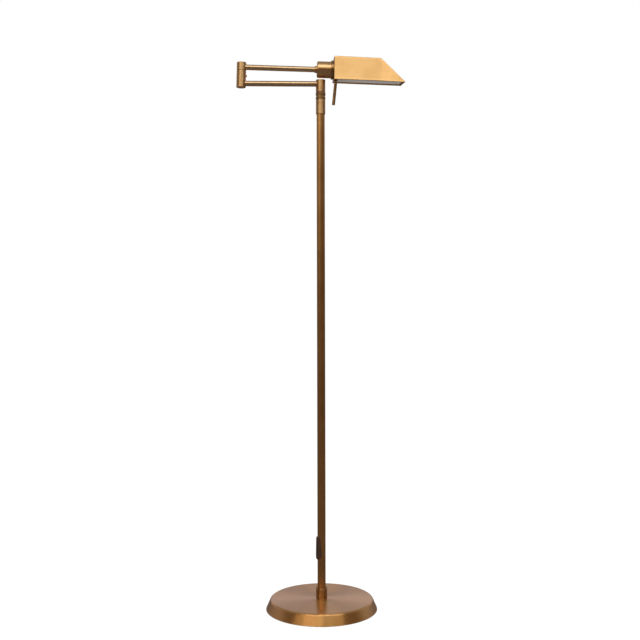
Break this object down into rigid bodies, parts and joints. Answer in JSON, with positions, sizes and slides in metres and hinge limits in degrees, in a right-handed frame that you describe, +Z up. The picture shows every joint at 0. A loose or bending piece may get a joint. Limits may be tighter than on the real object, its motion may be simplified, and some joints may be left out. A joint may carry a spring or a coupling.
{
  "type": "adjustable arm floor lamp",
  "caption": "Floor lamp with weighted round base, telescoping pole, folding two-part swing arm and a rotating open-bottomed metal reading shade.",
  "frame": {"origin": "on the floor at the centre of the base's underside, on the pole's axis", "axes": "+Z up along the pole, both arms along X at rest with the shade on the +X side, the front of the lamp towards -Y"},
  "size_m": [0.3901, 0.259, 1.2894],
  "materials": {
    "antique_brass": "brushed antique brass under satin lacquer",
    "raw_brass": "plain turned brass",
    "cast_iron": "as cast",
    "zinc_steel": "zinc plated",
    "felt": "pressed felt",
    "black_rubber": "matte",
    "nylon": "natural nylon",
    "brown_plastic": "satin moulded",
    "black_plastic": "moulded",
    "circuit_board": "printed board",
    "lead_sheath": "soft sheath",
    "nickel_cap": "rolled screw cap",
    "opal_glass": "opal",
    "white_enamel": "satin stove enamel"
  },
  "bodies": {
    "stand": {"base_pad": "felt", "base_weight": "cast_iron", "base_cover": "antique_brass", "base_nipple": "zinc_steel", "base_washer": "zinc_steel", "base_nut": "zinc_steel", "base_collar": "antique_brass", "cord_grommet": "black_rubber", "pole_tube": "antique_brass", "pole_foot_plug": "raw_brass", "pole_lead": "lead_sheath", "clamp_sleeve": "antique_brass", "clamp_collet": "nylon", "dimmer_housing": "brown_plastic", "dimmer_board": "circuit_board", "dimmer_screws": "zinc_steel"},
    "lock_collar": {"lock_collar": "antique_brass"},
    "dimmer_slider": {"dimmer_slider": "black_plastic"},
    "stem": {"stem_tube": "antique_brass", "stem_guide": "nylon", "swivel_pin": "raw_brass", "swivel_washer": "nylon", "swivel_clip": "zinc_steel", "stem_lead": "lead_sheath"},
    "lower_arm": {"pole_hub": "antique_brass", "hub_cap": "antique_brass", "lower_arm_tube": "antique_brass", "elbow_barrel": "antique_brass", "elbow_foot_cap": "antique_brass", "elbow_screw": "antique_brass", "lower_arm_lead": "lead_sheath"},
    "upper_arm": {"elbow_washer": "nylon", "elbow_hub": "antique_brass", "elbow_pin": "raw_brass", "elbow_nut": "zinc_steel", "elbow_spring": "zinc_steel", "elbow_cap": "antique_brass", "upper_arm_tube": "antique_brass", "arm_ferrule": "antique_brass", "socket_cup": "antique_brass", "cup_nut": "zinc_steel", "journal_tube": "raw_brass", "journal_clip": "zinc_steel", "lamp_holder": "black_plastic", "thread_shell": "raw_brass", "lamp_contact": "raw_brass", "upper_arm_lead": "lead_sheath", "bulb_cap": "nickel_cap", "bulb_glass": "opal_glass"},
    "shade": {"shade_collar": "antique_brass", "shade_shell": "antique_brass", "shade_liner": "white_enamel", "shade_lock_ring": "raw_brass", "handle_rod": "antique_brass"}
  },
  "joints": [
    {"name": "stem_height", "type": "slide", "parent": "stand", "child": "stem", "axis": [0, 0, 1], "range_m": [0, 0.25]},
    {"name": "collar_turn", "type": "hinge", "parent": "stand", "child": "lock_collar", "pos_m": [0, 0, 1.195], "axis": [0, 0, 1], "range_deg": [0, 150]},
    {"name": "dimmer_slide", "type": "slide", "parent": "stand", "child": "dimmer_slider", "axis": [0, 0, 1], "range_m": [0, 0.02]},
    {"name": "lower_arm_swing", "type": "hinge", "parent": "stem", "child": "lower_arm", "pos_m": [0, 0, 1.204], "axis": [0, 0, 1], "range_deg": [-165, 165]},
    {"name": "elbow_swing", "type": "hinge", "parent": "lower_arm", "child": "upper_arm", "pos_m": [-0.185, 0, 1.224], "axis": [0.0262, 0, 0.9997], "range_deg": [-175, 175]},
    {"name": "shade_roll", "type": "hinge", "parent": "upper_arm", "child": "shade", "pos_m": [-0.184, 0, 1.26203], "axis": [0.9997, 0, -0.0262], "range_deg": [-97.5, 82.5]}
  ]
}
